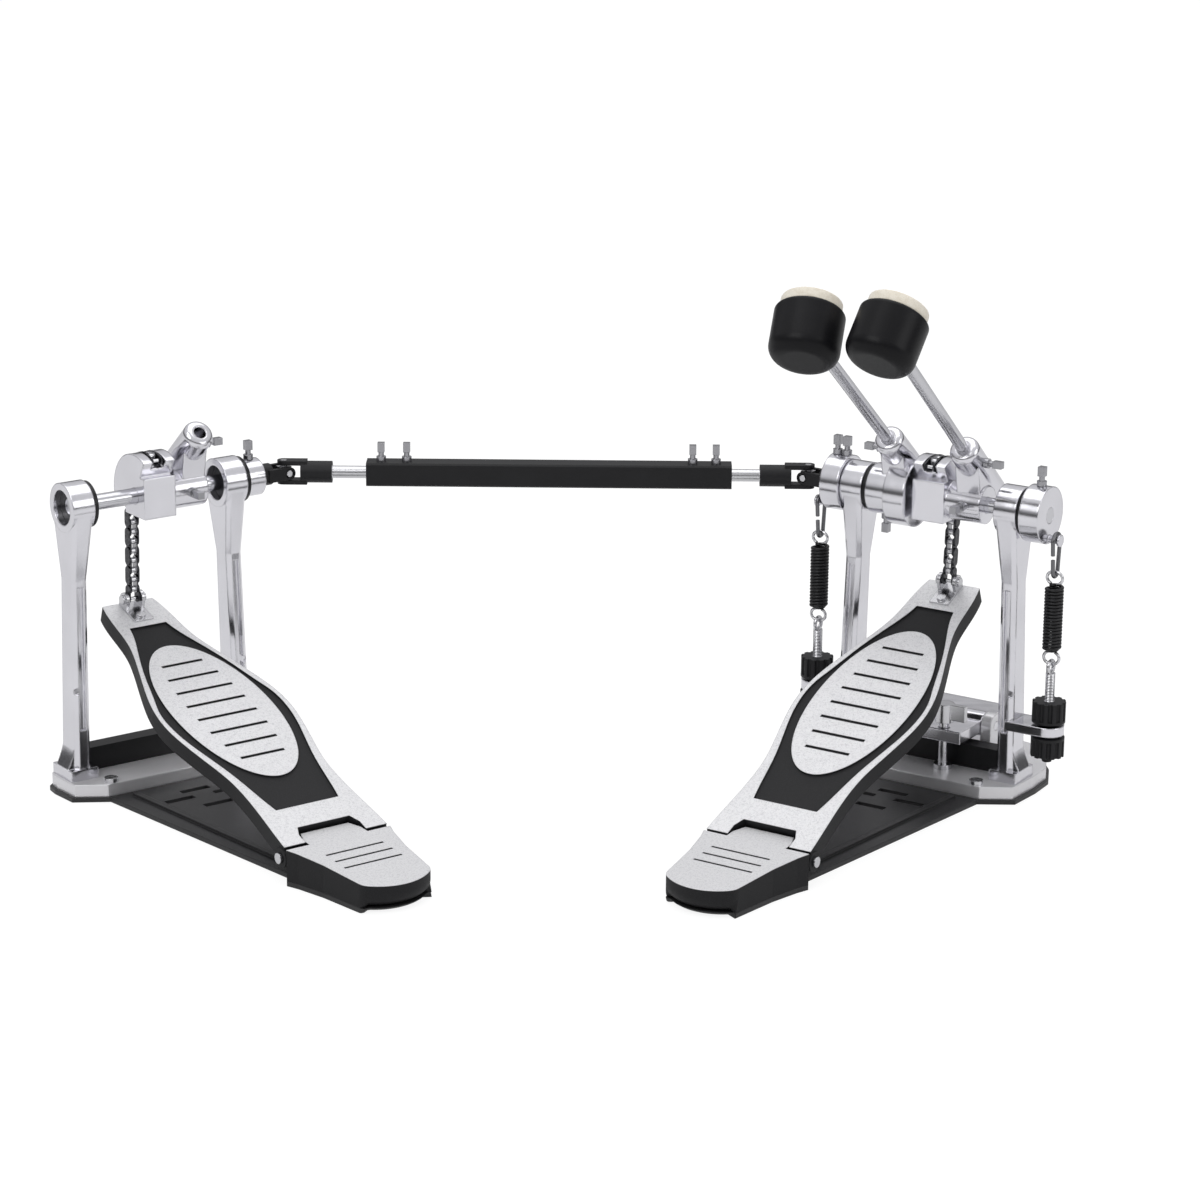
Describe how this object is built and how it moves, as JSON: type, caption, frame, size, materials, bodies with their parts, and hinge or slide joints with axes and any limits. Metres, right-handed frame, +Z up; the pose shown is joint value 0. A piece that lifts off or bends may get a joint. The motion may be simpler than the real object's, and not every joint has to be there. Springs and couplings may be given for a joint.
{
  "type": "double bass drum pedal",
  "caption": "Chain-driven double bass drum pedal: main pedal with twin beaters and springs, and a slave pedal joined to it by a telescopic universal-joint drive shaft.",
  "frame": {"origin": "on the floor under the middle of the main pedal's axle", "axes": "+Z up, +X along the drive shaft from the slave pedal to the main pedal, +Y towards the drum"},
  "size_m": [0.6361, 0.331, 0.3403],
  "materials": {
    "frame_chrome": "polished plated casting",
    "board_silver": "satin silver top with black sides and recess",
    "base_black": "satin black",
    "nylon_black": "smooth moulded",
    "bolt_steel": "bright plated",
    "chain_steel": "dark oiled",
    "felt_cream": "pressed felt"
  },
  "bodies": {
    "main_frame": {"main_base_plate": "base_black", "main_heel": "board_silver", "main_frame_base": "frame_chrome", "main_left_upright": "frame_chrome", "main_right_upright": "frame_chrome", "main_cross_bar": "base_black", "main_bearings": "nylon_black", "main_frame_fasteners": "bolt_steel"},
    "main_footboard": {"main_footboard": "board_silver", "main_chain_anchor": "bolt_steel"},
    "main_axle": {"main_axle": "bolt_steel", "main_cam": "frame_chrome", "main_chain_wrap": "chain_steel", "main_spring_cam": "frame_chrome", "main_key_bolts": "bolt_steel"},
    "main_chain_lift": {"main_chain_lift": "chain_steel"},
    "main_chain_run": {"main_chain_run": "chain_steel"},
    "main_beater": {"main_beater_rod": "bolt_steel", "main_beater_head": "nylon_black", "main_beater_felt": "felt_cream"},
    "main_spring_rod": {"main_spring_adjuster": "nylon_black"},
    "main_spring_hook": {"main_spring_hook": "bolt_steel", "main_spring": "chain_steel"},
    "hoop_jaw": {"hoop_jaw": "frame_chrome"},
    "clamp_screw": {"clamp_screw": "bolt_steel"},
    "slave_stub": {"stub_axle": "bolt_steel", "slave_drive_hub": "frame_chrome", "slave_spring_cam": "frame_chrome", "stub_key_bolts": "bolt_steel"},
    "slave_beater": {"slave_beater_rod": "bolt_steel", "slave_beater_head": "nylon_black", "slave_beater_felt": "felt_cream"},
    "slave_spring_rod": {"slave_spring_adjuster": "nylon_black"},
    "slave_spring_hook": {"slave_spring_hook": "bolt_steel", "slave_spring": "chain_steel"},
    "shaft": {"shaft_tube": "base_black", "shaft_main_arm": "base_black", "shaft_clamp_screws": "bolt_steel"},
    "shaft_arm": {"shaft_slave_arm": "base_black"},
    "main_joint_cross": {"main_joint_cross": "bolt_steel"},
    "slave_joint_cross": {"slave_joint_cross": "bolt_steel"},
    "slave_frame": {"slave_base_plate": "base_black", "slave_heel": "board_silver", "slave_frame_base": "frame_chrome", "slave_left_upright": "frame_chrome", "slave_right_upright": "frame_chrome", "slave_cross_bar": "base_black", "slave_bearings": "nylon_black", "slave_frame_fasteners": "bolt_steel"},
    "slave_footboard": {"slave_footboard": "board_silver", "slave_chain_anchor": "bolt_steel"},
    "slave_axle": {"slave_axle": "bolt_steel", "slave_cam": "frame_chrome", "slave_chain_wrap": "chain_steel", "slave_key_bolts": "bolt_steel", "slave_collar": "frame_chrome", "slave_yoke": "base_black"},
    "slave_chain_lift": {"slave_chain_lift": "chain_steel"},
    "slave_chain_run": {"slave_chain_run": "chain_steel"}
  },
  "joints": [
    {"name": "main_axle_turn", "type": "hinge", "parent": "main_frame", "child": "main_axle", "pos_m": [0, 0, 0.185], "axis": [-0.8434, 0.5373, 0], "range_deg": [0, 52], "stiffness_Nm_per_rad": 0.6, "springref_deg": -8.59},
    {"name": "main_footboard_turn", "type": "hinge", "parent": "main_frame", "child": "main_footboard", "pos_m": [-0.11283, -0.17711, 0.0155], "axis": [-0.8434, 0.5373, 0], "range_deg": [0, 5.18]},
    {"name": "main_chain_lift_turn", "type": "hinge", "parent": "main_axle", "child": "main_chain_lift", "pos_m": [0.00985, 0.01546, 0.20049], "axis": [0.8434, -0.5373, 0], "range_deg": [0, 38.87]},
    {"name": "main_chain_run_turn", "type": "hinge", "parent": "main_chain_lift", "child": "main_chain_run", "pos_m": [0.01285, 0.02016, 0.18278], "axis": [0.8434, -0.5373, 0], "range_deg": [0, 21.2]},
    {"name": "main_beater_height", "type": "slide", "parent": "main_axle", "child": "main_beater", "axis": [-0.4043, -0.6346, 0.6587], "range_m": [-0.025, 0.025]},
    {"name": "main_spring_rod_turn", "type": "hinge", "parent": "main_frame", "child": "main_spring_rod", "pos_m": [0.07, -0.0446, 0.048], "axis": [0.8434, -0.5373, 0], "range_deg": [0, 5.31]},
    {"name": "main_spring_stretch", "type": "slide", "parent": "main_spring_rod", "child": "main_spring_hook", "axis": [0, 0, 1], "range_m": [0, 0.00633], "deforming": ["main_spring"]},
    {"name": "clamp_screw_turn", "type": "hinge", "parent": "main_frame", "child": "clamp_screw", "pos_m": [0.00805, -0.01343, 0.011], "axis": [0, 0, 1], "range_deg": [-360, 360]},
    {"name": "hoop_jaw_turn", "type": "hinge", "parent": "main_frame", "child": "hoop_jaw", "pos_m": [0.0129, 0.02024, 0.034], "axis": [0.8434, -0.5373, 0], "range_deg": [-3.52, 3.52]},
    {"name": "shaft_length", "type": "slide", "parent": "main_frame", "child": "slave_frame", "axis": [-1, 0, 0], "range_m": [-0.02, 0.06]},
    {"name": "slave_axle_turn", "type": "hinge", "parent": "slave_frame", "child": "slave_axle", "pos_m": [-0.49141, -0.00773, 0.185], "axis": [-0.8039, -0.5948, 0], "range_deg": [0, 52], "stiffness_Nm_per_rad": 0.6, "springref_deg": -8.59},
    {"name": "slave_footboard_turn", "type": "hinge", "parent": "slave_frame", "child": "slave_footboard", "pos_m": [-0.3665, -0.17654, 0.0155], "axis": [-0.8039, -0.5948, 0], "range_deg": [0, 4.93]},
    {"name": "slave_chain_lift_turn", "type": "hinge", "parent": "slave_axle", "child": "slave_chain_lift", "pos_m": [-0.50329, 0.00833, 0.1983], "axis": [0.8039, 0.5948, 0], "range_deg": [0, 46.39]},
    {"name": "slave_chain_run_turn", "type": "hinge", "parent": "slave_chain_lift", "child": "slave_chain_run", "pos_m": [-0.50581, 0.01174, 0.18005], "axis": [0.8039, 0.5948, 0], "range_deg": [0, 10.81]},
    {"name": "shaft_turn", "type": "hinge", "parent": "main_frame", "child": "shaft", "pos_m": [-0.07844, 0.04997, 0.185], "axis": [-1, 0, 0], "range_deg": [0, 57.89]},
    {"name": "shaft_arm_turn", "type": "hinge", "parent": "slave_frame", "child": "shaft_arm", "pos_m": [-0.41344, 0.04997, 0.185], "axis": [-1, 0, 0], "range_deg": [0, 57.89]},
    {"name": "main_joint_cross_turn", "type": "hinge", "parent": "shaft", "child": "main_joint_cross", "pos_m": [-0.07844, 0.04997, 0.185], "axis": [0, 0, 1], "range_deg": [0, 13.8]},
    {"name": "slave_joint_cross_turn", "type": "hinge", "parent": "shaft_arm", "child": "slave_joint_cross", "pos_m": [-0.41344, 0.04997, 0.185], "axis": [0, 0, -1], "range_deg": [0, 15.04]},
    {"name": "slave_stub_turn", "type": "hinge", "parent": "main_frame", "child": "slave_stub", "pos_m": [0, 0, 0.185], "axis": [-0.8434, 0.5373, 0], "range_deg": [0, 53.35]},
    {"name": "slave_beater_height", "type": "slide", "parent": "slave_stub", "child": "slave_beater", "axis": [-0.4146, -0.6508, 0.6361], "range_m": [-0.025, 0.025]},
    {"name": "slave_spring_rod_turn", "type": "hinge", "parent": "main_frame", "child": "slave_spring_rod", "pos_m": [-0.07, 0.0446, 0.048], "axis": [0.8434, -0.5373, 0], "range_deg": [0, 5.39]},
    {"name": "slave_spring_stretch", "type": "slide", "parent": "slave_spring_rod", "child": "slave_spring_hook", "axis": [0, 0, 1], "range_m": [0, 0.00662], "deforming": ["slave_spring"]}
  ],
  "couplings": [
    {"joint": "main_footboard_turn", "follows": "main_axle_turn", "ratio": 0.099278},
    {"joint": "main_chain_lift_turn", "follows": "main_axle_turn", "ratio": 0.74709},
    {"joint": "main_chain_run_turn", "follows": "main_axle_turn", "ratio": 0.40736},
    {"joint": "main_spring_rod_turn", "follows": "main_axle_turn", "ratio": 0.10165},
    {"joint": "main_spring_stretch", "follows": "main_axle_turn", "m_per_rad": 0.0069534},
    {"joint": "hoop_jaw_turn", "follows": "clamp_screw_turn", "ratio": 0.0097222},
    {"joint": "slave_footboard_turn", "follows": "slave_axle_turn", "ratio": 0.094498},
    {"joint": "slave_chain_lift_turn", "follows": "slave_axle_turn", "ratio": 0.89165},
    {"joint": "slave_chain_run_turn", "follows": "slave_axle_turn", "ratio": 0.20743},
    {"joint": "shaft_turn", "follows": "slave_axle_turn", "ratio": 1.1129},
    {"joint": "shaft_arm_turn", "follows": "slave_axle_turn", "ratio": 1.1129},
    {"joint": "main_joint_cross_turn", "follows": "slave_axle_turn", "ratio": 0.26504},
    {"joint": "slave_joint_cross_turn", "follows": "slave_axle_turn", "ratio": 0.28881},
    {"joint": "slave_stub_turn", "follows": "slave_axle_turn", "ratio": 1.0255},
    {"joint": "slave_spring_rod_turn", "follows": "slave_axle_turn", "ratio": 0.10323},
    {"joint": "slave_spring_stretch", "follows": "slave_axle_turn", "m_per_rad": 0.0072778}
  ]
}
